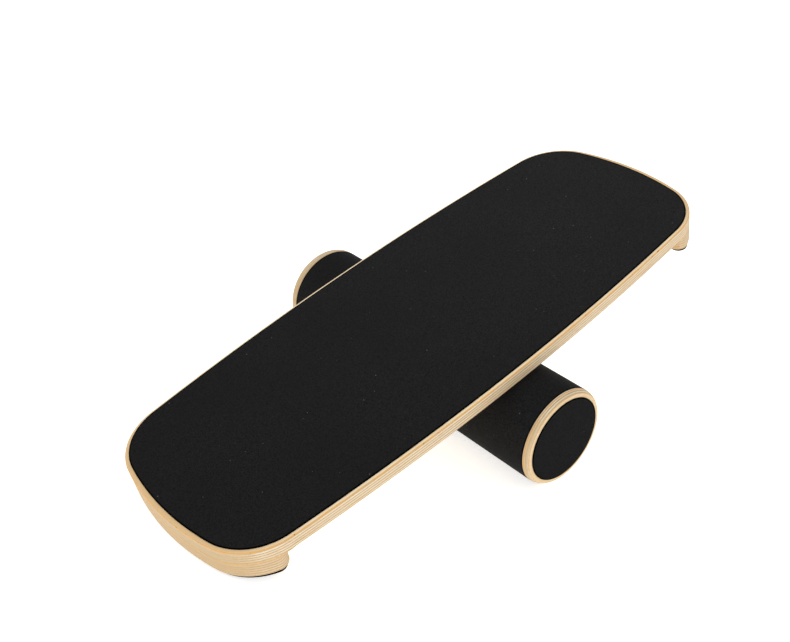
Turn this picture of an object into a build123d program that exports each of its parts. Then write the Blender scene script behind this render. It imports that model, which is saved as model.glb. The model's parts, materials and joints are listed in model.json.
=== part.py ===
"""Balance board: a plywood deck with a stop under each end, lying across a loose round roller.

Frame: +X along the deck towards its raised end, +Y across it, +Z up, the floor at Z = 0.
The deck rests as it is put down: the roller near its middle and its low end on the floor.
"""

import os
from math import asin, atan2, cos, hypot, sin, sqrt

from build123d import *

os.makedirs("parts", exist_ok=True)

# Deck, in millimetres: long sides that bulge a little, ends that are rounder arcs
deck_length = 750.0
deck_width = 293.6
panel_thickness = 17.0
side_radius = 3330.0
end_radius = 335.0
corner_radius = 73.5
edge_round = 2.0
stop_edge_round = 1.0

# Grip sheet on top of the deck
grip_thickness = 1.0
grip_side_margin = 3.8
grip_end_margin = 5.9
grip_end_radius = 366.0

# Stops under the two ends, and the pads that the deck lands on
stop_inner_x = 304.8
stop_thickness = 20.6
stop_nose_radius = 12.0
pad_thickness = 3.7
pad_side_inset = 0.9
pad_end_inset = 2.4
pad_inner_inset = 3.2
pad_nose_radius = 11.0

# Wood screws that hold a stop up against the deck
stop_screw_length = 35.0
stop_screw_count = 5
stop_screw_pitch = 50.0
stop_screw_x = 338.0

# Roller: a tube between two caps, and a wrap that laps onto the near one
roller_radius = 58.5
length_between_caps = 401.4
wrap_length = 405.6
wrap_shift = -2.2
wrap_thickness = 1.0
sleeve_thickness = 2.4
tube_wall = 3.2
cap_thickness = 12.0
cap_rim_radius = 58.4
cap_face_radius = 55.4
cap_edge_curve = 11.5
disc_radius = 51.2
disc_thickness = 1.0
plug_thickness = 18.0

# Screws that hold a cap to the plug inside the tube
cap_screw_length = 25.0
cap_screw_count = 3
cap_screw_circle = 31.0

# Both kinds of screw are 4 mm countersunk wood screws with a square drive
screw_radius = 2.0
screw_head_radius = 4.0
screw_tip_length = 4.0
drive_width = 2.6
drive_depth = 1.5

running_gap = 0.05
end_gap = 0.1
hole_gap = 0.05

# Where the roller lies under the deck, measured from the deck's middle
roller_along_deck = 10.0
roller_across_deck = 11.5
roller_to_deck_gap = 0.1

# The deck's tilt: its low pad touches the floor while its underside lies on the roller
half_length = deck_length / 2
half_width = deck_width / 2
axis_depth = roller_radius + roller_to_deck_gap
reach = half_length - pad_end_inset + roller_along_deck
rise = axis_depth - stop_thickness - pad_thickness
tilt = asin(roller_radius / hypot(reach, rise)) + atan2(rise, reach)

# The middle of the deck's underside. The roller's mid-length is at Y = 0, and the deck's two
# lowest and highest outer edges are equally far from X = 0.
underside_x = -(stop_thickness - panel_thickness) / 2 * sin(tilt)
roller_x = underside_x + roller_along_deck * cos(tilt) + axis_depth * sin(tilt)
underside_z = roller_radius + axis_depth * cos(tilt) - roller_along_deck * sin(tilt)

deck_plane = Plane(
    origin=(underside_x, -roller_across_deck, underside_z),
    x_dir=(cos(tilt), 0, sin(tilt)),
    z_dir=(-sin(tilt), 0, cos(tilt)),
)
up_from_deck = Axis(deck_plane.origin, deck_plane.z_dir)
stop_plane = deck_plane.offset(-stop_thickness)
pad_plane = stop_plane.offset(-pad_thickness)


def board_outline(sketch, side_inset=0.0, end_inset=0.0, end_arc=end_radius):
    """Draws the deck's outline, drawn in by the two insets, in the sketch that is open."""
    Rectangle(deck_length, deck_width)
    between_arc_centres = 2 * (half_length - end_inset - end_arc)
    SlotCenterToCenter(between_arc_centres, 2 * end_arc, mode=Mode.INTERSECT)
    for side in (-1, 1):
        with Locations((0, side * (half_width - side_radius))):
            Circle(side_radius - side_inset, mode=Mode.INTERSECT)
    fillet(sketch.vertices(), corner_radius - side_inset)


def keep_end(sketch, end, inner_x, nose_radius):
    """Keeps one end of the outline that is open, and rounds the two noses by the long sides."""
    with Locations((end * (inner_x + half_length), 0)):
        Rectangle(deck_length, 2 * deck_width, mode=Mode.INTERSECT)
    noses = sketch.vertices().group_by(Axis.X)[0 if end > 0 else -1]
    fillet(noses, nose_radius)


def screw_places(end):
    """The plane on a stop's underside, facing down, where its row of screws goes in."""
    return Plane(
        origin=stop_plane.from_local_coords((end * stop_screw_x, 0, 0)),
        x_dir=deck_plane.x_dir,
        z_dir=-deck_plane.z_dir,
    )


def wood_screw(length):
    """A countersunk wood screw with its head's face at the origin, pointing down -Z."""
    with BuildPart() as screw:
        with BuildSketch(Plane.XZ):
            with BuildLine():
                Polyline(
                    (0, 0),
                    (screw_head_radius, 0),
                    (screw_radius, screw_radius - screw_head_radius),
                    (screw_radius, screw_tip_length - length),
                    (0, -length),
                    close=True,
                )
            make_face()
        revolve(axis=Axis.Z)
        with BuildSketch():
            Rectangle(drive_width, drive_width)
        extrude(amount=-drive_depth, mode=Mode.SUBTRACT)
    return screw.part


def countersunk_holes(depth):
    """Cuts a countersunk hole for a wood screw at each place that is open."""
    CounterSinkHole(
        radius=screw_radius + hole_gap,
        counter_sink_radius=screw_head_radius + hole_gap,
        depth=depth,
        counter_sink_angle=90,
    )


# ---------------------------------------------------------------- deck

stop_screw = wood_screw(stop_screw_length)
screw_depth_in_deck = stop_screw_length - stop_thickness

with BuildPart() as deck_panel:
    with BuildSketch(deck_plane) as panel_outline:
        board_outline(panel_outline)
    extrude(amount=panel_thickness)
    fillet(deck_panel.faces().sort_by(up_from_deck)[-1].edges(), edge_round)
    for end in (-1, 1):
        hole_plane = screw_places(end).offset(-stop_thickness)
        with Locations(hole_plane.location):
            with GridLocations(0, stop_screw_pitch, 1, stop_screw_count):
                Hole(screw_radius + hole_gap, depth=screw_depth_in_deck + hole_gap)
deck_panel.part.label = "deck_panel"
export_step(deck_panel.part, "parts/deck_panel.step")

with BuildPart() as deck_grip_sheet:
    with BuildSketch(deck_plane.offset(panel_thickness)) as grip_outline:
        board_outline(grip_outline, grip_side_margin, grip_end_margin, grip_end_radius)
    extrude(amount=grip_thickness)
deck_grip_sheet.part.label = "deck_grip_sheet"
export_step(deck_grip_sheet.part, "parts/deck_grip_sheet.step")

for end, end_name in ((-1, "low"), (1, "high")):
    with BuildPart() as end_stop:
        with BuildSketch(stop_plane) as stop_outline:
            board_outline(stop_outline)
            keep_end(stop_outline, end, stop_inner_x, stop_nose_radius)
        extrude(amount=stop_thickness)
        fillet(end_stop.faces().sort_by(up_from_deck)[0].edges(), stop_edge_round)
        with Locations(screw_places(end).location):
            with GridLocations(0, stop_screw_pitch, 1, stop_screw_count):
                countersunk_holes(stop_thickness)
    end_stop.part.label = f"{end_name}_end_stop"
    export_step(end_stop.part, f"parts/{end_name}_end_stop.step")

    with BuildPart() as stop_pad:
        with BuildSketch(pad_plane) as pad_outline:
            board_outline(pad_outline, pad_side_inset, pad_end_inset)
            keep_end(pad_outline, end, stop_inner_x + pad_inner_inset, pad_nose_radius)
        extrude(amount=pad_thickness)
    stop_pad.part.label = f"{end_name}_stop_pad"
    export_step(stop_pad.part, f"parts/{end_name}_stop_pad.step")

    with BuildPart() as stop_screws:
        with Locations(screw_places(end).location):
            with GridLocations(0, stop_screw_pitch, 1, stop_screw_count):
                add(stop_screw)
    stop_screws.part.label = f"{end_name}_stop_screws"
    export_step(stop_screws.part, f"parts/{end_name}_stop_screws.step")

# ---------------------------------------------------------------- roller

roller_plane = Plane(origin=(roller_x, 0, roller_radius), x_dir=(1, 0, 0), z_dir=(0, 1, 0))
sleeve_outer = roller_radius - wrap_thickness - running_gap
tube_outer = sleeve_outer - sleeve_thickness - running_gap
tube_inner = tube_outer - tube_wall
inner_length = length_between_caps - 2 * end_gap

# A cap's rim is level with the wrap, then curves in to the cap's face
curve_drop = cap_rim_radius - cap_face_radius
curve_length = sqrt(cap_edge_curve**2 - (cap_edge_curve - curve_drop) ** 2)
lap_on_near_cap = (wrap_length - length_between_caps) / 2 - wrap_shift


def ring(outer_radius, inner_radius, length, middle=0.0):
    """Extrudes a tube about the roller's axis, the same length each way from its middle."""
    with BuildSketch(roller_plane.offset(middle)) as section:
        Circle(outer_radius)
        Circle(inner_radius, mode=Mode.SUBTRACT)
    extrude(section.sketch, amount=length / 2, both=True)


with BuildPart() as roller_wrap:
    ring(roller_radius, roller_radius - wrap_thickness, wrap_length, wrap_shift)
roller_wrap.part.label = "roller_wrap"
export_step(roller_wrap.part, "parts/roller_wrap.step")

with BuildPart() as roller_sleeve:
    ring(sleeve_outer, sleeve_outer - sleeve_thickness, inner_length)
roller_sleeve.part.label = "roller_sleeve"
export_step(roller_sleeve.part, "parts/roller_sleeve.step")

with BuildPart() as roller_core_tube:
    ring(tube_outer, tube_inner, inner_length)
roller_core_tube.part.label = "roller_core_tube"
export_step(roller_core_tube.part, "parts/roller_core_tube.step")

cap_screw = wood_screw(cap_screw_length)

for end, end_name in ((-1, "near"), (1, "far")):
    # A frame on the cap's inner face, with its Z pointing out along the roller's axis
    cap_plane = Plane(
        origin=(roller_x, end * length_between_caps / 2, roller_radius),
        x_dir=(1, 0, 0),
        z_dir=(0, end, 0),
    )
    face_plane = cap_plane.offset(cap_thickness)

    with BuildPart() as end_cap:
        with BuildSketch(Plane(cap_plane.origin, cap_plane.x_dir, z_dir=(0, 0, end))):
            with BuildLine():
                curve_start = (cap_rim_radius, cap_thickness - curve_length)
                face_edge = (cap_face_radius, cap_thickness)
                RadiusArc(curve_start, face_edge, -cap_edge_curve)
                Polyline(face_edge, (0, cap_thickness), (0, 0), (cap_rim_radius, 0), curve_start)
            make_face()
        revolve(axis=Axis(cap_plane.origin, cap_plane.z_dir))
        if end < 0:
            with BuildSketch(cap_plane):
                Circle(roller_radius)
                Circle(sleeve_outer, mode=Mode.SUBTRACT)
            extrude(amount=lap_on_near_cap + end_gap, mode=Mode.SUBTRACT)
        with Locations(face_plane.location):
            with PolarLocations(cap_screw_circle, cap_screw_count):
                countersunk_holes(cap_thickness)
    end_cap.part.label = f"{end_name}_end_cap"
    export_step(end_cap.part, f"parts/{end_name}_end_cap.step")

    with BuildPart() as grip_disc:
        with BuildSketch(face_plane):
            Circle(disc_radius)
        extrude(amount=disc_thickness)
    grip_disc.part.label = f"{end_name}_grip_disc"
    export_step(grip_disc.part, f"parts/{end_name}_grip_disc.step")

    with BuildPart() as end_plug:
        with BuildSketch(cap_plane):
            Circle(tube_inner - running_gap)
        extrude(amount=-plug_thickness)
        with Locations(cap_plane.location):
            with PolarLocations(cap_screw_circle, cap_screw_count):
                Hole(screw_radius + hole_gap, depth=cap_screw_length - cap_thickness + hole_gap)
    end_plug.part.label = f"{end_name}_end_plug"
    export_step(end_plug.part, f"parts/{end_name}_end_plug.step")

    with BuildPart() as cap_screws:
        with Locations(face_plane.location):
            with PolarLocations(cap_screw_circle, cap_screw_count):
                add(cap_screw)
    cap_screws.part.label = f"{end_name}_cap_screws"
    export_step(cap_screws.part, f"parts/{end_name}_cap_screws.step")
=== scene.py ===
"""A plywood balance board and its roller: the looks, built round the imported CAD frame.

Every plywood piece has its own plies in geometry and in its material, the grit sheets have a
knife-cut edge, and the roller's wrap is one sheet that meets itself in a seam.
"""

import json
import math

import bpy
from mathutils import Matrix, Vector, noise


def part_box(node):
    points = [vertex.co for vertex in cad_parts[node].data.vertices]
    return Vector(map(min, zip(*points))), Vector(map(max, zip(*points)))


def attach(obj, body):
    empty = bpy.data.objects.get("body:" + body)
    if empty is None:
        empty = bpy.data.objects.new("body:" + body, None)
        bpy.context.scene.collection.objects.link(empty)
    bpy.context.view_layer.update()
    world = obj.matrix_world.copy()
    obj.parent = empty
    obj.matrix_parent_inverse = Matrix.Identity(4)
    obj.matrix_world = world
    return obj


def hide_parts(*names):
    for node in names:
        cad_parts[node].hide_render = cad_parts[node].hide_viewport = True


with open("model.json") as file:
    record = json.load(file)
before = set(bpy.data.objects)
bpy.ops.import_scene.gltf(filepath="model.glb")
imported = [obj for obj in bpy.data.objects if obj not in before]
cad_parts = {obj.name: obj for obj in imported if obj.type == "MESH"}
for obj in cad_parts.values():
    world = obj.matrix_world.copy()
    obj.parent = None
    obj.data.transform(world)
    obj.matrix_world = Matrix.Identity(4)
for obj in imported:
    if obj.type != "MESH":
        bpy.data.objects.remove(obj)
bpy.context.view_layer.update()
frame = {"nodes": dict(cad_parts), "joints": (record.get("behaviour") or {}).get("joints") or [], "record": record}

MM = 0.001

# ------------------------------------------------------------------ where things are

mounts = {m["name"]: m for m in frame["record"]["mounts"]}
joints = {j["name"]: j for j in frame["joints"]}


def upright(origin, along, up):
    """The matrix of a frame at origin, with its X near along and its Z along up."""
    up = Vector(up).normalized()
    across = up.cross(Vector(along)).normalized()
    turn = Matrix((across.cross(up), across, up)).transposed()
    return Matrix.Translation(Vector(origin)) @ turn.to_4x4()


# The deck's frame: its origin on the middle of the grip sheet, its Z square to the sheet
deck_frame = upright(mounts["standing_surface"]["pos_m"], (1, 0, 0), mounts["standing_surface"]["axis"])


def local_box(node, place):
    """The lowest and highest corner of a CAD node in the frame that place gives."""
    into = place.inverted()
    corners = [into @ v.co for v in frame["nodes"][node].data.vertices]
    low = Vector(min(c[i] for c in corners) for i in range(3))
    high = Vector(max(c[i] for c in corners) for i in range(3))
    return low, high


deck_low, deck_high = local_box("deck_panel", deck_frame)
grip_low, grip_high = local_box("deck_grip_sheet", deck_frame)
stop_low, stop_high = local_box("high_end_stop", deck_frame)
pad_low, pad_high = local_box("high_stop_pad", deck_frame)

half_length, half_width = deck_high.x, deck_high.y
panel_top, panel_bottom = deck_high.z, deck_low.z
side_radius = 3330 * MM
end_radius = 335 * MM
grip_end_radius = 366 * MM
corner_radius = 73.5 * MM
outline_spacing = 1.4 * MM

# ------------------------------------------------------------------ outlines


def arc(centre, radius, start, stop, spacing):
    """Points on an arc, each with the outward direction there. Angles are in radians."""
    steps = max(2, round(abs(stop - start) * radius / spacing))
    found = []
    for i in range(steps):
        a = start + (stop - start) * i / steps
        out = Vector((math.cos(a), math.sin(a)))
        found.append((Vector(centre) + out * radius, out))
    return found


def line(start, stop, out, spacing):
    """Points on a straight line, each with the outward direction."""
    start, stop = Vector(start), Vector(stop)
    steps = max(2, round((stop - start).length / spacing))
    return [(start.lerp(stop, i / steps), Vector(out)) for i in range(steps)]


def corner_centre(side_inset, end_inset, end_arc):
    """The centre of the corner arc between the long side's arc and the end's arc."""
    corner = corner_radius - side_inset
    end_at = Vector((half_length - end_inset - end_arc, 0))
    side_at = Vector((0, half_width - side_radius))
    from_end, from_side = end_arc - corner, side_radius - side_inset - corner
    apart = side_at - end_at
    along = (from_end**2 - from_side**2 + apart.length_squared) / (2 * apart.length)
    across = math.sqrt(from_end**2 - along**2)
    unit = apart.normalized()
    return end_at + unit * along + Vector((-unit.y, unit.x)) * across


def mirrored(points, x, y):
    """The same points mirrored in X or Y, in the order that keeps the loop turning left."""
    turned = [(Vector((p.x * x, p.y * y)), Vector((n.x * x, n.y * y))) for p, n in points]
    return turned if x * y > 0 else turned[::-1]


def board_outline(side_inset=0.0, end_inset=0.0, end_arc=end_radius):
    """The deck's outline as a loop of points, drawn in by the two insets."""
    centre = corner_centre(side_inset, end_inset, end_arc)
    side_y = half_width - side_radius
    end_x = half_length - end_inset - end_arc
    at_end = math.atan2(centre.y, centre.x - end_x)
    at_side = math.atan2(centre.y - side_y, centre.x)
    quarter = arc((end_x, 0), end_arc, 0, at_end, outline_spacing)
    quarter += arc(centre, corner_radius - side_inset, at_end, at_side, outline_spacing)
    quarter += arc((0, side_y), side_radius - side_inset, at_side, math.pi / 2, outline_spacing)
    far_middle = (Vector((0, half_width - side_inset)), Vector((0, 1)))
    low_middle = (Vector((end_inset - half_length, 0)), Vector((-1, 0)))
    near_middle = (Vector((0, side_inset - half_width)), Vector((0, -1)))
    loop = mirrored(quarter[1:], 1, -1) + quarter + [far_middle]
    loop += mirrored(quarter[1:], -1, 1) + [low_middle]
    return loop + mirrored(quarter[1:], -1, -1) + [near_middle]


def end_outline(end, inner_x, nose_radius, side_inset=0.0, end_inset=0.0):
    """The outline of a stop or pad: one end of the deck's outline, with two rounded noses."""
    centre = corner_centre(side_inset, end_inset, end_radius)
    corner = corner_radius - side_inset
    nose_x = inner_x + nose_radius
    nose_rise = math.sqrt((corner - nose_radius) ** 2 - (nose_x - centre.x) ** 2)
    nose = Vector((nose_x, centre.y + nose_rise))
    end_x = half_length - end_inset - end_radius
    at_end = math.atan2(centre.y, centre.x - end_x)
    at_nose = math.atan2(nose.y - centre.y, nose.x - centre.x)
    half = arc((end_x, 0), end_radius, 0, at_end, outline_spacing)
    half += arc(centre, corner, at_end, at_nose, outline_spacing)
    half += arc(nose, nose_radius, at_nose, math.pi, outline_spacing)
    half += line((inner_x, nose.y), (inner_x, 0), (-1, 0), outline_spacing)
    loop = half + [(Vector((inner_x, 0)), Vector((-1, 0)))] + mirrored(half[1:], 1, -1)
    return loop if end > 0 else mirrored(loop, -1, 1)


# ------------------------------------------------------------------ meshes


def add_piece(name, points, faces, place, body):
    """A mesh that rides on a body. Its walls, which are all four-sided, are shaded smooth."""
    mesh = bpy.data.meshes.new(name)
    mesh.from_pydata(points, [], faces)
    mesh.transform(place)
    mesh.validate()
    for face in mesh.polygons:
        face.use_smooth = len(face.vertices) == 4
    mesh.update()
    piece = bpy.data.objects.new(name, mesh)
    bpy.context.scene.collection.objects.link(piece)
    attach(piece, body)
    return piece


def stacked_piece(name, rows, place, body):
    """A closed piece from rows of points, each row a ring, the first one its top."""
    count = len(rows[0])
    points = [p for row in rows for p in row]
    faces = []
    for r in range(len(rows) - 1):
        for i in range(count):
            j = (i + 1) % count
            a, b = r * count, (r + 1) * count
            faces.append((a + i, b + i, b + j, a + j))
    faces.append(tuple(range(count)))
    faces.append(tuple(reversed(range(len(points) - count, len(points)))))
    return add_piece(name, points, faces, place, body)


def rounding(radius, steps):
    """(inset, drop) pairs round a quarter circle, from a flat top to a plumb side."""
    angles = [math.pi / 2 * i / steps for i in range(steps + 1)]
    return [(radius * (1 - math.sin(a)), radius * (1 - math.cos(a))) for a in angles]


join_groove = 0.07 * MM
join_half_width = 0.1 * MM
join_step = 0.02 * MM
saw_roughness = 0.05 * MM
lowest_row = 0.4 * MM


class Plies:
    """How a sheet of plywood is laid up: thin cross plies between thick long ones, in metres."""

    def __init__(self, thickness, count, cross=1.0 * MM):
        self.thickness = thickness
        self.count = count
        self.cross = cross
        self.pitch = thickness / count
        self.first = thickness / (2 * count)
        self.face = self.first - cross / 2

    def rows(self):
        """(inset, depth) pairs down an edge, with a fine groove at each join."""
        found = []
        for i in range(self.count):
            middle = self.first + self.pitch * i
            for side in (-1, 1):
                join = middle + side * self.cross / 2
                found.append((0.0, join - join_half_width))
                found.append((join_groove, join))
                found.append((join_step, join + join_half_width))
            if i + 1 < self.count:
                found.append((0.0, middle + self.pitch / 2))
        return found


def drawn_in(depth, thickness, radius):
    """How far a rounded lower edge lies inside the plumb side at a depth."""
    over = depth - (thickness - radius)
    return radius - math.sqrt(max(radius**2 - over**2, 0.0)) if over > 0 else 0.0


def plywood_wall(loop, plies, top_round, bottom_round, seed):
    """Rows of points for a plywood piece: its rounded top edge, its plies and its lower edge.

    bottom_round is a function of a point on the outline, so that an edge can be rounded
    only where it is open.
    """
    thickness = plies.thickness
    profile = rounding(top_round, 6) if top_round else [(0.0, 0.0)]
    rows = []
    for inset, depth in profile:
        rows.append([((p - n * inset).x, (p - n * inset).y, -depth) for p, n in loop])
    for inset, depth in plies.rows():
        if not top_round < depth < thickness - lowest_row:
            continue
        row = []
        for p, n in loop:
            rough = noise.noise(Vector((p.x * 90, p.y * 90, depth * 900 + seed))) * saw_roughness
            q = p - n * (inset + rough + drawn_in(depth, thickness, bottom_round(p)))
            row.append((q.x, q.y, -depth))
        rows.append(row)
    for share in (0.35, 0.15, 0.0):
        row = []
        for p, n in loop:
            radius = bottom_round(p)
            depth = thickness - share * max(radius, lowest_row)
            q = p - n * drawn_in(depth, thickness, radius)
            row.append((q.x, q.y, -depth))
        rows.append(row)
    return rows


# ------------------------------------------------------------------ materials


def colour(red, green, blue):
    """A linear colour from the usual 0 to 255 values."""
    parts = [c / 255 for c in (red, green, blue)]
    return [c / 12.92 if c < 0.04045 else ((c + 0.055) / 1.055) ** 2.4 for c in parts] + [1.0]


long_ply_tones = colour(208, 186, 150), colour(238, 225, 200)
one_ply_tone = colour(226, 198, 158)
ripe_ply_tone = colour(206, 166, 110)
figure_tone = colour(206, 172, 124)
end_grain_tone = colour(190, 163, 118)
gold_tone = colour(200, 162, 108)
cross_ply_tones = colour(156, 128, 92), colour(196, 171, 136)
cross_ply_side_tone = colour(206, 182, 142)
pore_tone = colour(158, 122, 80)
cut_face_tones = colour(206, 171, 124), colour(230, 200, 156)
cut_face_end_tone = colour(192, 159, 108)
flat_face_tones = colour(252, 222, 176), colour(255, 240, 204)
flat_face_end_tone = colour(226, 187, 132)
face_figure_tone = colour(228, 192, 142)
glue_tones = colour(240, 172, 84), colour(170, 104, 50)

grain_tones = colour(9, 9, 10), colour(34, 34, 35)
clump_tone = colour(46, 46, 47)
cloud_tone = colour(24, 24, 25)
shade_tone = colour(2, 2, 2)
glint_tone = colour(170, 171, 174)
cut_rim_tone = colour(1, 1, 3)


class Shader:
    """A material and short ways to add nodes to it."""

    def __init__(self, name, place=None):
        self.place = place or Matrix()
        self.material = bpy.data.materials.new(name)
        self.material.use_nodes = True
        self.tree = self.material.node_tree
        self.tree.nodes.clear()
        self.output = self.add("ShaderNodeOutputMaterial")
        self.bsdf = self.add("ShaderNodeBsdfPrincipled")
        self.tree.links.new(self.bsdf.outputs[0], self.output.inputs[0])

    def add(self, kind, inputs=None, **settings):
        node = self.tree.nodes.new(kind)
        for key, value in settings.items():
            setattr(node, key, value)
        for key, value in (inputs or {}).items():
            self.put(node.inputs[key], value)
        return node

    def put(self, socket, value):
        if isinstance(value, bpy.types.NodeSocket):
            self.tree.links.new(value, socket)
        else:
            socket.default_value = value

    def math(self, operation, *values, clamp=False):
        node = self.add("ShaderNodeMath", operation=operation, use_clamp=clamp)
        for socket, value in zip(node.inputs, values):
            self.put(socket, value)
        return node.outputs[0]

    def ramp(self, value, low, high, start=0.0, stop=1.0):
        """Value moved from low..high to start..stop with a soft start and end."""
        node = self.add(
            "ShaderNodeMapRange",
            {"Value": value, "From Min": low, "From Max": high, "To Min": start, "To Max": stop},
            interpolation_type="SMOOTHSTEP",
        )
        return node.outputs["Result"]

    def mix(self, share, a, b, blend="MIX"):
        node = self.add("ShaderNodeMix", data_type="RGBA", blend_type=blend)
        self.put(node.inputs["Factor"], share)
        self.put(node.inputs[6], a)
        self.put(node.inputs[7], b)
        return node.outputs[2]

    def blend(self, share, a, b):
        node = self.add("ShaderNodeMix", data_type="FLOAT")
        self.put(node.inputs["Factor"], share)
        self.put(node.inputs[2], a)
        self.put(node.inputs[3], b)
        return node.outputs[0]

    def where(self, sx, sy, sz):
        """The point in the piece's own frame, scaled along each axis, as a vector."""
        x, y, z = self.point()
        parts = [self.math("MULTIPLY", v, s) for v, s in ((x, sx), (y, sy), (z, sz))]
        return self.add("ShaderNodeCombineXYZ", dict(zip("XYZ", parts))).outputs[0]

    def point(self):
        if not hasattr(self, "_point"):
            found = self.add("ShaderNodeTexCoord").outputs
            back = self.place.inverted()
            turn = {"Rotation": back.to_euler()}
            at = {0: found["Object"], "Location": back.translation, **turn}
            point = self.add("ShaderNodeMapping", at, vector_type="POINT").outputs[0]
            normal = {0: found["Normal"], **turn}
            facing = self.add("ShaderNodeMapping", normal, vector_type="VECTOR").outputs[0]
            self._point = self.add("ShaderNodeSeparateXYZ", {0: point}).outputs
            self._facing = self.add("ShaderNodeSeparateXYZ", {0: facing}).outputs
        return self._point[0], self._point[1], self._point[2]

    def facing(self):
        self.point()
        return self._facing[0], self._facing[1], self._facing[2]

    def noise(self, vector, detail=3.0, w=None, roughness=0.55):
        settings = {"Vector": vector, "Scale": 1.0, "Detail": detail, "Roughness": roughness}
        if w is not None:
            settings["W"] = w
        node = self.add("ShaderNodeTexNoise", noise_dimensions="3D" if w is None else "4D")
        for key, value in settings.items():
            self.put(node.inputs[key], value)
        return node.outputs[0]

    def finish(self, base, roughness, height=None, distance=0.1 * MM, strength=0.5, specular=0.5):
        self.put(self.bsdf.inputs["Base Color"], base)
        self.put(self.bsdf.inputs["Roughness"], roughness)
        self.put(self.bsdf.inputs["Specular IOR Level"], specular)
        if height is not None:
            relief = {"Height": height, "Distance": distance, "Strength": strength}
            bump = self.add("ShaderNodeBump", relief)
            self.put(self.bsdf.inputs["Normal"], bump.outputs[0])
        return self.material


def plywood(name, place, plies, seed, amber_join, amber=1.0, wander=0.7, gold=0.0, pale=1.0):
    """Solid plywood: Z is square to the plies and 0 on the top face, X is the face's grain.

    amber_join is the depth of the join whose glue shows amber all round; amber is how strongly.
    wander is how far, in millimetres, the plies rise and fall along the sheet, gold is how much
    deeper their tone is, and pale is how much lighter the face is where it lies flat.
    """
    s = Shader(name, place)
    x, y, z = s.point()
    nx, ny, nz = s.facing()
    waver = s.math("SUBTRACT", s.noise(s.where(12, 12, 0), 2.0, seed), 0.5)
    ragged = s.math("SUBTRACT", s.noise(s.where(150, 150, 0), 2.0, seed + 3), 0.5)
    depth = s.math("MULTIPLY", z, -1 / MM)
    depth = s.math("MULTIPLY_ADD", waver, wander, depth)
    depth = s.math("MULTIPLY_ADD", ragged, 0.3, depth)

    # Which ply this is: cross is 1 in a cross ply, and each ply has its own number
    step = s.math("DIVIDE", s.math("SUBTRACT", depth, plies.first / MM), plies.pitch / MM)
    nearest = s.math("ROUND", step)
    nearest = s.math("MINIMUM", s.math("MAXIMUM", nearest, 0.0), plies.count - 1.0)
    cross_depth = s.math("MULTIPLY_ADD", nearest, plies.pitch / MM, plies.first / MM)
    from_cross = s.math("SUBTRACT", depth, cross_depth)
    half_cross = plies.cross / MM / 2
    cross = s.ramp(s.math("ABSOLUTE", from_cross), half_cross + 0.08, half_cross - 0.08)
    is_cross = s.math("LESS_THAN", s.math("ABSOLUTE", from_cross), half_cross)
    number = s.math("ADD", s.math("CEIL", step), s.math("MULTIPLY", is_cross, 0.5))
    from_middle = s.math("ABSOLUTE", s.math("SUBTRACT", depth, plies.thickness / MM / 2))
    is_face = s.math("GREATER_THAN", from_middle, (plies.thickness / 2 - plies.face) / MM)
    ply_seed = s.math("ADD", number, seed)
    own = s.add("ShaderNodeTexWhiteNoise", {"W": ply_seed}, noise_dimensions="1D").outputs[0]

    # Grain runs along X in the long plies and along Y in the cross plies
    grain = s.add("ShaderNodeMix", data_type="VECTOR")
    s.put(grain.inputs["Factor"], is_cross)
    s.put(grain.inputs[4], s.where(7, 500, 1500))
    s.put(grain.inputs[5], s.where(500, 7, 1500))
    ply_w = s.math("MULTIPLY_ADD", number, 3.7, seed)
    streaks = s.noise(grain.outputs[1], 4.0, ply_w, 0.62)
    figure = s.noise(s.where(16, 90, 90), 3.0, ply_w)
    end_on = s.ramp(s.blend(is_cross, s.math("ABSOLUTE", nx), s.math("ABSOLUTE", ny)), 0.4, 0.95)
    pores = s.noise(s.where(2100, 2100, 2100), 2.0, ply_w)

    base = s.mix(s.ramp(streaks, 0.28, 0.72), *long_ply_tones)
    base = s.mix(s.ramp(own, 0.0, 1.0, 0.0, 0.45), base, one_ply_tone)
    ripe = s.math("MULTIPLY", s.ramp(own, 0.3, 0.8), s.math("MULTIPLY", end_on, 0.35))
    base = s.mix(ripe, base, ripe_ply_tone)
    base = s.mix(s.ramp(figure, 0.45, 0.75, 0.0, 0.6), base, figure_tone)
    base = s.mix(s.math("MULTIPLY", end_on, 0.7), base, end_grain_tone)
    base = s.mix(gold, base, gold_tone)
    dark = s.mix(s.ramp(streaks, 0.3, 0.7), *cross_ply_tones)
    dark = s.mix(s.math("MULTIPLY_ADD", end_on, -0.45, 0.45), dark, cross_ply_side_tone)
    first_cross = s.math("LESS_THAN", nearest, 0.5)
    shown = s.math("MULTIPLY", cross, s.math("MULTIPLY_ADD", first_cross, -0.6, 1.0))
    base = s.mix(shown, base, dark)
    specks = s.math("MULTIPLY", s.ramp(pores, 0.62, 0.76), s.math("MULTIPLY", end_on, 0.45))
    base = s.mix(specks, base, pore_tone)

    # The rotary-cut face: pale where it lies flat, tan where the edge cuts through it
    ticks = s.ramp(s.noise(s.where(60, 900, 200), 3.0, seed + 8, 0.65), 0.3, 0.7)
    cut = s.mix(ticks, *cut_face_tones)
    cut = s.mix(s.math("MULTIPLY", end_on, 0.85), cut, cut_face_end_tone)
    flat = s.mix(ticks, *flat_face_tones)
    near_end = s.ramp(s.math("ABSOLUTE", x), 0.28, 0.36, 0.0, 0.85)
    flat = s.mix(near_end, flat, flat_face_end_tone)
    veneer = s.mix(s.ramp(s.math("ABSOLUTE", nz), 0.8, 0.99, 0.0, pale), cut, flat)
    veneer = s.mix(s.ramp(figure, 0.4, 0.75, 0.0, 0.3), veneer, face_figure_tone)
    base = s.mix(is_face, base, veneer)

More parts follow.
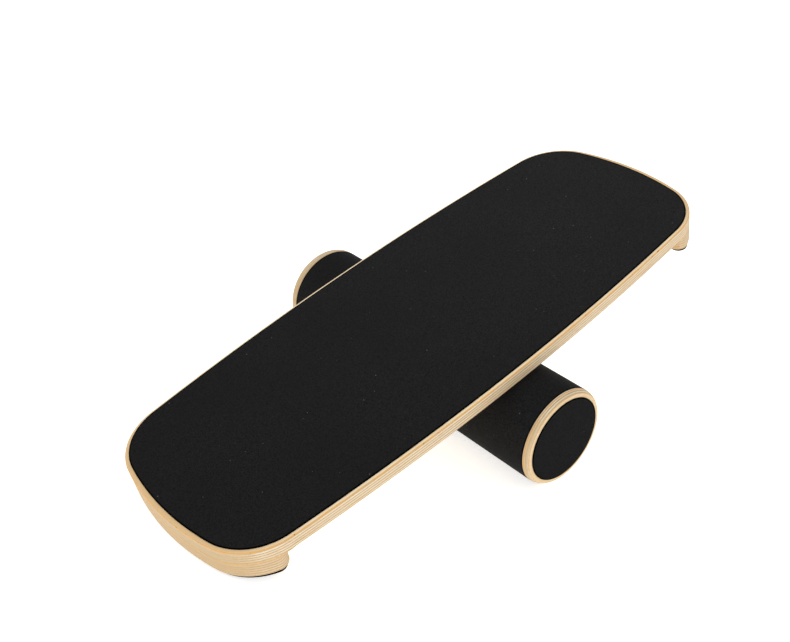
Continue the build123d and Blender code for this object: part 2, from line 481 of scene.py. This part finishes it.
    # Amber glue: a ragged line all round at one join, and short patches at the others
    edge_only = s.ramp(s.math("ABSOLUTE", nz), 0.985, 0.9)
    patch = s.noise(s.where(70, 70, 10), 4.0, seed + 12, 0.6)
    from_join = s.math("ABSOLUTE", s.math("SUBTRACT", depth, amber_join / MM))
    line = s.ramp(s.math("DIVIDE", from_join, s.ramp(patch, 0.3, 0.72, 0.22, 0.85)), 1.0, 0.4)
    line = s.math("MULTIPLY", line, s.ramp(patch, 0.25, 0.45, 0.35, 1.0))
    other = s.noise(s.where(34, 34, 10), 3.0, ply_w, 0.6)
    from_any = s.math("ABSOLUTE", s.math("SUBTRACT", s.math("ABSOLUTE", from_cross), half_cross))
    short = s.math("MULTIPLY", s.ramp(from_any, 0.5, 0.1), s.ramp(other, 0.57, 0.68, 0.0, 0.7))
    glue = s.math("MULTIPLY", s.math("MAXIMUM", line, short), edge_only)
    burnt = s.noise(s.where(260, 260, 260), 2.0, seed + 15)
    amber_tone = s.mix(s.ramp(burnt, 0.6, 0.72), *glue_tones)
    base = s.mix(s.math("MULTIPLY", glue, amber), base, amber_tone)

    height = s.math("MULTIPLY_ADD", streaks, 0.6, s.math("MULTIPLY", pores, 0.4))
    return s.finish(base, s.ramp(streaks, 0.2, 0.8, 0.52, 0.7), height, 0.12 * MM, 0.35, 0.3)


def grit(name, seed, shade=1.0, specular=0.1, painted_shade_fade=0.0):
    """A black abrasive sheet: close-set grains, a few of them with a painted glint, and a darker cut edge.

    shade is how much of the grit's grey is left under a painted shade, set for each copy of the sheet
    by how much light falls on it; the last argument is how much more painted shade its -X end gets than its +X
    end.
    """
    s = Shader(name)
    at = s.where(1, 1, 1)
    grains = s.add("ShaderNodeTexVoronoi", {"Vector": at, "Scale": 1500.0}, feature="F1")
    glints = s.add("ShaderNodeTexVoronoi", {"Vector": at, "Scale": 900.0}, feature="F1")
    clumps = s.noise(s.where(640, 640, 640), 2.0, seed, 0.75)
    cloud = s.noise(s.where(9, 9, 9), 3.0, seed + 5)
    own = s.add("ShaderNodeSeparateColor", {0: grains.outputs["Color"]}).outputs
    glint = s.add("ShaderNodeSeparateColor", {0: glints.outputs["Color"]}).outputs
    base = s.mix(own[0], *grain_tones)
    base = s.mix(s.ramp(clumps, 0.36, 0.64, 0.0, 0.85), base, clump_tone)
    base = s.mix(s.ramp(cloud, 0.3, 0.75, 0.0, 0.25), base, cloud_tone)
    # Painted shade: the whole sheet is darkened, and more so towards its -X end
    painted_shade = s.ramp(s.point()[0], 0.4, -0.4, 1.0 - shade, 1.0 - shade + painted_shade_fade)
    base = s.mix(painted_shade, base, shade_tone)
    # Painted highlights: a rare grain gets a light grey glint in its colour
    rare = s.ramp(glint[1], 0.9992, 0.9997)
    bright = s.math("MULTIPLY", rare, s.ramp(glints.outputs["Distance"], 0.5, 0.2))
    glare = s.math("MULTIPLY", bright, s.ramp(glint[2], 0.0, 1.0, 0.15, 0.8))
    base = s.mix(glare, base, glint_tone)
    rim = s.add("ShaderNodeAttribute", attribute_name="rim").outputs["Fac"]
    bare = s.ramp(rim, 0.15, 0.5)
    base = s.mix(s.math("MULTIPLY", bare, 0.95), base, cut_rim_tone)
    height = s.math("ADD", s.ramp(grains.outputs["Distance"], 0.7, 0.0), s.math("MULTIPLY", clumps, 0.8))
    shine = s.blend(bare, specular, 0.02)
    return s.finish(base, s.blend(bright, 0.85, 0.45), height, 0.12 * MM, 0.5, shine)


def rubber(name, tone, seed):
    """Plain black rubber with a fine moulded skin."""
    s = Shader(name)
    skin = s.noise(s.where(700, 700, 700), 4.0, seed)
    smear = s.noise(s.where(25, 25, 60), 3.0, seed + 2)
    base = s.mix(s.ramp(smear, 0.3, 0.7), colour(tone, tone, tone), colour(tone + 4, tone + 4, tone + 5))
    return s.finish(base, s.ramp(smear, 0.2, 0.8, 0.6, 0.8), skin, 0.06 * MM, 0.4, 0.03)


def zinc(name):
    """Yellow-passivated zinc on the wood screws."""
    s = Shader(name)
    film = s.noise(s.where(160, 160, 160), 3.0, 1.0)
    scratches = s.noise(s.where(2500, 200, 2500), 2.0, 4.0)
    base = s.mix(s.ramp(film, 0.3, 0.7), colour(206, 190, 140), colour(190, 186, 172))
    s.put(s.bsdf.inputs["Metallic"], 1.0)
    return s.finish(base, s.ramp(scratches, 0.3, 0.7, 0.28, 0.42), scratches, 0.02 * MM, 0.3)


def pipe(name):
    """Grey extruded pipe with faint draw marks along it."""
    s = Shader(name)
    marks = s.noise(s.where(900, 8, 900), 3.0, 2.0)
    base = s.mix(s.ramp(marks, 0.3, 0.7), colour(150, 152, 154), colour(162, 164, 165))
    return s.finish(base, s.ramp(marks, 0.2, 0.8, 0.4, 0.5), marks, 0.03 * MM, 0.3)


def dress(piece, material):
    """Gives a piece its one material."""
    piece.data.materials.clear()
    piece.data.materials.append(material)
    return piece


# ------------------------------------------------------------------ deck

panel_thickness = panel_top - panel_bottom
deck_plies = Plies(panel_thickness, 5)
panel_place = deck_frame @ Matrix.Translation((0, 0, panel_top))
stop_inner_x = stop_low.x
stop_nose_radius = 12 * MM
stop_edge_round = 1.0 * MM
open_edge_round = 2.0 * MM
round_starts_inside = 4 * MM
round_grows_over = 14 * MM
deck_amber_depth = 0.85 * MM


def panel_lower_round(point):
    """How far the panel's lower edge is rounded: only between the stops, where it is open."""
    clear = (stop_inner_x + round_starts_inside - abs(point.x)) / round_grows_over
    clear = min(max(clear, 0.0), 1.0)
    return open_edge_round * clear * clear * (3 - 2 * clear)


panel = stacked_piece(
    "deck_plywood",
    plywood_wall(board_outline(), deck_plies, open_edge_round, panel_lower_round, 11),
    panel_place,
    "deck",
)
dress(panel, plywood("deck_plywood", panel_place, deck_plies, 11.0, deck_amber_depth))
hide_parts("deck_panel")

grip_side_margin = half_width - grip_high.y
grip_end_margin = half_length - grip_high.x
grip_thickness = grip_high.z - grip_low.z
rim_width = 2.2 * MM
burr = 0.25 * MM
knife_wander = 0.12 * MM


def cut_edge(loop, seed):
    """A knife-cut edge: the outline wanders by a tenth of a millimetre or so."""
    wandering = []
    for p, n in loop:
        away = noise.noise(Vector((p.x * 130, p.y * 130, seed))) * knife_wander
        wandering.append((p + n * away, n))
    return wandering


def sheet_rows(loop, thickness):
    """Rows for a thin sheet with a slightly worn top edge, the first one just inside its rim."""
    profile = [(rim_width, 0.0)] + rounding(burr, 3) + [(0.0, thickness)]
    return [[((p - n * i).x, (p - n * i).y, -d) for p, n in loop] for i, d in profile]


def mark_rim(piece, inside):
    """Stores on each vertex whether it's on the sheet's cut edge: 0 for the ones inside."""
    rim = piece.data.attributes.new("rim", "FLOAT", "POINT")
    for i, value in enumerate(rim.data):
        value.value = 0.0 if inside(i) else 1.0


grip_outline = board_outline(grip_side_margin, grip_end_margin, grip_end_radius)
grip_outline = cut_edge([(p - n * knife_wander, n) for p, n in grip_outline], 3.0)
grip = stacked_piece(
    "deck_grip",
    sheet_rows(grip_outline, grip_thickness),
    deck_frame @ Matrix.Translation((0, 0, grip_high.z)),
    "deck",
)
mark_rim(grip, lambda i: i < len(grip_outline))
# The deck's grit carries painted shade, deepest at its low -X end
grit_black = grit("black_grit", 2.0, 0.94, 0.09, 0.36)
dress(grip, grit_black)
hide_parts("deck_grip_sheet")

stop_thickness = stop_high.z - stop_low.z
stop_plies = Plies(stop_thickness, 6)
stop_place = deck_frame @ Matrix.Translation((0, 0, stop_high.z))
pad_thickness = pad_high.z - pad_low.z
pad_side_inset = 0.3 * MM
pad_nose_radius = 10 * MM
pad_end_inset = half_length - pad_high.x
pad_edge_round = 0.3 * MM
pad_black = rubber("pad_rubber", 1, 1.0)

for end, end_name in ((-1, "low"), (1, "high")):
    stop_name = f"{end_name}_stop_plywood"
    stop_loop = end_outline(end, stop_inner_x, stop_nose_radius)
    stop_rows = plywood_wall(stop_loop, stop_plies, 0.0, lambda p: stop_edge_round, 40 + end)
    stop = stacked_piece(stop_name, stop_rows, stop_place, "deck")
    seed = 30.0 + 7 * end
    stop_wood = plywood(stop_name, stop_place, stop_plies, seed, 0.0, 0.8, wander=1.8, gold=0.4)
    dress(stop, stop_wood)
    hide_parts(f"{end_name}_end_stop")

    pad_loop = end_outline(end, pad_low.x, pad_nose_radius, pad_side_inset, pad_end_inset)
    pad_rows = [[(p.x, p.y, 0.0) for p, n in pad_loop]]
    for inset, rise in reversed(rounding(pad_edge_round, 3)):
        height = rise - pad_thickness
        pad_rows.append([((p - n * inset).x, (p - n * inset).y, height) for p, n in pad_loop])
    pad_place = deck_frame @ Matrix.Translation((0, 0, pad_high.z))
    pad = stacked_piece(f"{end_name}_pad_rubber", pad_rows, pad_place, "deck")
    dress(pad, pad_black)
    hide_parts(f"{end_name}_stop_pad")

# ------------------------------------------------------------------ roller

axis_at = Vector(joints["deck_tilt"]["pos_m"])
wrap_low, wrap_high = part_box("roller_wrap")
roller_radius = (wrap_high.x - wrap_low.x) / 2
wrap_thickness = 1.0 * MM
seam_width = 0.5 * MM
seam_angle = math.radians(118)
roller_segments = 300


def wrap_mesh():
    """One sheet rolled round the sleeve, with its two long edges meeting in a narrow seam."""
    half_gap = seam_width / 2 / roller_radius
    whole = 2 * math.pi - 2 * half_gap
    turns = [half_gap + whole * i / roller_segments for i in range(roller_segments + 1)]
    near, far = wrap_low.y, wrap_high.y
    section = [
        (roller_radius, near + rim_width),
        (roller_radius, far - rim_width),
        (roller_radius, far - burr),
        (roller_radius - burr * 0.3, far - burr * 0.3),
        (roller_radius - burr, far),
        (roller_radius - wrap_thickness, far),
        (roller_radius - wrap_thickness, near),
        (roller_radius - burr, near),
        (roller_radius - burr * 0.3, near + burr * 0.3),
        (roller_radius, near + burr),
    ]
    points, faces = [], []
    for t in turns:
        for radius, along in section:
            a = t + seam_angle
            points.append((radius * math.cos(a), radius * math.sin(a), along))
    n = len(section)
    for i in range(roller_segments):
        for k in range(n):
            m = (k + 1) % n
            faces.append((i * n + k, i * n + m, (i + 1) * n + m, (i + 1) * n + k))
    faces.append(tuple(reversed(range(n))))
    faces.append(tuple(roller_segments * n + k for k in range(n)))
    return points, faces, n


roller_place = Matrix.Translation(axis_at) @ Matrix.Rotation(math.radians(-90), 4, "X")
wrap_points, wrap_faces, per_turn = wrap_mesh()
wrap = add_piece("roller_grip", wrap_points, wrap_faces, roller_place, "roller")
mark_rim(wrap, lambda i: i % per_turn < 2)
# Painted shade: the roller's grit is darkened more, for the extra light it gets from the floor
dress(wrap, grit("roller_grit", 8.0, 0.6, 0.07))
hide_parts("roller_wrap")

cap_edge_curve = 11.5 * MM
cap_face_radius = 55.4 * MM
cap_radius = 58.4 * MM
gap_at_wrap = 0.1 * MM
gap_under_wrap = 0.05 * MM
cap_segments = 360
flat_starts_inside = 3 * MM
flat_ends_inside = 0.5 * MM
arris_from = 0.15 * MM
arris_inset = 0.08 * MM
arris_drop = 0.06 * MM
clear_of_ends = 0.2 * MM
shoulder_step = 0.02 * MM


def cap_rows(plies, shoulder):
    """Rings from the cap's outer face, over its rounded rim, to its flat back.

    Deeper than the shoulder the rim is cut back, to lie under the wrap.
    """
    thickness = plies.thickness
    under_wrap = roller_radius - wrap_thickness - gap_under_wrap
    curve_drop = cap_radius - cap_face_radius
    curve_depth = math.sqrt(cap_edge_curve**2 - (cap_edge_curve - curve_drop) ** 2)

    def radius_at(depth):
        up_curve = max(curve_depth - depth, 0.0)
        return cap_radius - cap_edge_curve + math.sqrt(cap_edge_curve**2 - up_curve**2)

    profile = [(cap_face_radius - flat_starts_inside, 0.0)]
    profile.append((cap_face_radius - flat_ends_inside, 0.0))
    profile.append((radius_at(arris_from) - arris_inset, arris_drop))
    for inset, depth in plies.rows():
        if clear_of_ends < depth < shoulder - clear_of_ends:
            profile.append((radius_at(depth) - inset, depth))
    profile.append((radius_at(shoulder) - shoulder_step, shoulder))
    if shoulder < thickness:
        profile += [(under_wrap, shoulder), (under_wrap, thickness)]
    rows = []
    for radius, depth in profile:
        row = []
        for i in range(cap_segments):
            a = 2 * math.pi * i / cap_segments
            rough = noise.noise(Vector((math.cos(a) * 5, math.sin(a) * 5, depth * 900))) * saw_roughness
            r = radius - abs(rough) * (depth > 0)
            row.append((r * math.cos(a), r * math.sin(a), -depth))
        rows.append(row)
    return rows


for side, side_name in ((-1, "near"), (1, "far")):
    cap_low, cap_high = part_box(f"{side_name}_end_cap")
    disc_low, disc_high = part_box(f"{side_name}_grip_disc")
    cap_face = cap_low.y if side < 0 else cap_high.y
    cap_thickness = cap_high.y - cap_low.y
    shoulder = wrap_low.y - gap_at_wrap - cap_face if side < 0 else cap_thickness
    cap_place = upright((axis_at.x, cap_face, axis_at.z), (1, 0, 0), (0, side, 0))
    cap_plies = Plies(cap_thickness, 5, 0.9 * MM)
    cap_name = f"{side_name}_cap_plywood"
    cap = stacked_piece(cap_name, cap_rows(cap_plies, shoulder), cap_place, "roller")
    seed = 60.0 + 9 * side
    amber_join = cap_plies.first + 2 * cap_plies.pitch - cap_plies.cross / 2
    amber = 0.75 if side < 0 else 0.2
    cap_wood = plywood(cap_name, cap_place, cap_plies, seed, amber_join, amber, pale=0.25)
    dress(cap, cap_wood)
    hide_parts(f"{side_name}_end_cap")

    disc_radius = (disc_high.x - disc_low.x) / 2
    disc_thickness = disc_high.y - disc_low.y
    circle = arc((0, 0), disc_radius - knife_wander, 0, 2 * math.pi, outline_spacing)
    rim = cut_edge(circle, 20.0 + side)
    disc_place = cap_place @ Matrix.Translation((0, 0, disc_thickness))
    disc = stacked_piece(f"{side_name}_disc_grip", sheet_rows(rim, disc_thickness), disc_place, "roller")
    mark_rim(disc, lambda i: i < len(rim))
    # Painted shade: each disc's grit is darkened more again, for the extra light on its upright face
    dress(disc, grit(f"{side_name}_disc_grit", 14.0 + side, 0.46, 0.05))
    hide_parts(f"{side_name}_grip_disc")

# ------------------------------------------------------------------ pieces kept from the CAD

screw_zinc = zinc("screw_zinc")
plug_place = upright(axis_at, (1, 0, 0), (0, 1, 0))
plug_ply = plywood("plug_wood", plug_place, deck_plies, 90.0, deck_amber_depth, 0.3)
kept = {
    "low_stop_screws": screw_zinc,
    "high_stop_screws": screw_zinc,
    "near_cap_screws": screw_zinc,
    "far_cap_screws": screw_zinc,
    "near_end_plug": plug_ply,
    "far_end_plug": plug_ply,
    "roller_core_tube": pipe("core_pipe"),
    "roller_sleeve": rubber("sleeve_rubber", 18, 5.0),
}
for node, material in kept.items():
    dress(frame["nodes"][node], material)

# ------------------------------------------------------------------ camera, light and floor

# Where the photo was taken from, in the deck's frame
camera_from_deck = Vector((-0.56341, -0.79427, 0.82858))
camera_ahead = Vector((0.41956, 0.63733, -0.64636))
camera_up = Vector((0.52950, 0.40653, 0.74456))

camera_data = bpy.data.cameras.new("camera")
camera_data.lens = 50
camera_data.sensor_width = 36
camera = bpy.data.objects.new("camera", camera_data)
bpy.context.scene.collection.objects.link(camera)
right = camera_ahead.cross(camera_up).normalized()
camera_turn = Matrix((right, right.cross(camera_ahead), -camera_ahead)).transposed().to_4x4()
camera.matrix_world = deck_frame @ Matrix.Translation(camera_from_deck) @ camera_turn
bpy.context.scene.camera = camera

world = bpy.data.worlds.new("world")
world.use_nodes = True
background = world.node_tree.nodes["Background"]
background.inputs["Color"].default_value = (1, 1, 1, 1)
# The studio's walls are bright down to the floor, and its ceiling is dimmer
direction = world.node_tree.nodes.new("ShaderNodeTexCoord")
apart = world.node_tree.nodes.new("ShaderNodeSeparateXYZ")
by_height = world.node_tree.nodes.new("ShaderNodeMapRange")
by_height.interpolation_type = "SMOOTHSTEP"
for socket, value in (("From Min", 0.08), ("From Max", 0.4), ("To Min", 1.05), ("To Max", 0.64)):
    by_height.inputs[socket].default_value = value
world.node_tree.links.new(direction.outputs["Generated"], apart.inputs[0])
world.node_tree.links.new(apart.outputs["Z"], by_height.inputs["Value"])
world.node_tree.links.new(by_height.outputs["Result"], background.inputs["Strength"])
bpy.context.scene.world = world
bpy.context.scene.view_settings.view_transform = "Standard"


light_size = 2.4
light_aim = Vector((0, 0, 0.1))


def soft_light(name, place, power):
    """A square area light at place, turned to the part."""
    data = bpy.data.lights.new(name, "AREA")
    data.size = light_size
    data.energy = power
    light = bpy.data.objects.new(name, data)
    bpy.context.scene.collection.objects.link(light)
    light.location = place
    light.rotation_mode = "QUATERNION"
    light.rotation_quaternion = (light_aim - Vector(place)).to_track_quat("-Z", "Y")


soft_light("key", (-0.2, 0.9, 2.6), 17)
soft_light("fill", (-1.2, -2.3, 0.9), 8)

floor_mesh = bpy.data.meshes.new("floor")
floor_reach = 30.0
floor_corners = [(x * floor_reach, y * floor_reach, 0) for x, y in ((-1, -1), (1, -1), (1, 1), (-1, 1))]
floor_mesh.from_pydata(floor_corners, [], [(0, 1, 2, 3)])
floor = bpy.data.objects.new("floor", floor_mesh)
bpy.context.scene.collection.objects.link(floor)
paper = Shader("glowing_floor_paper")
tone = paper.noise(paper.where(3, 3, 3), 2.0, 1.0)
paper.finish(paper.mix(tone, colour(240, 240, 239), colour(244, 244, 243)), 0.9, None, specular=0.1)
# The floor glows: painted light that washes out the shadows on it and lights the board from below
paper.put(paper.bsdf.inputs["Emission Color"], (1, 1, 1, 1))
paper.put(paper.bsdf.inputs["Emission Strength"], 0.68)
floor_mesh.materials.append(paper.material)
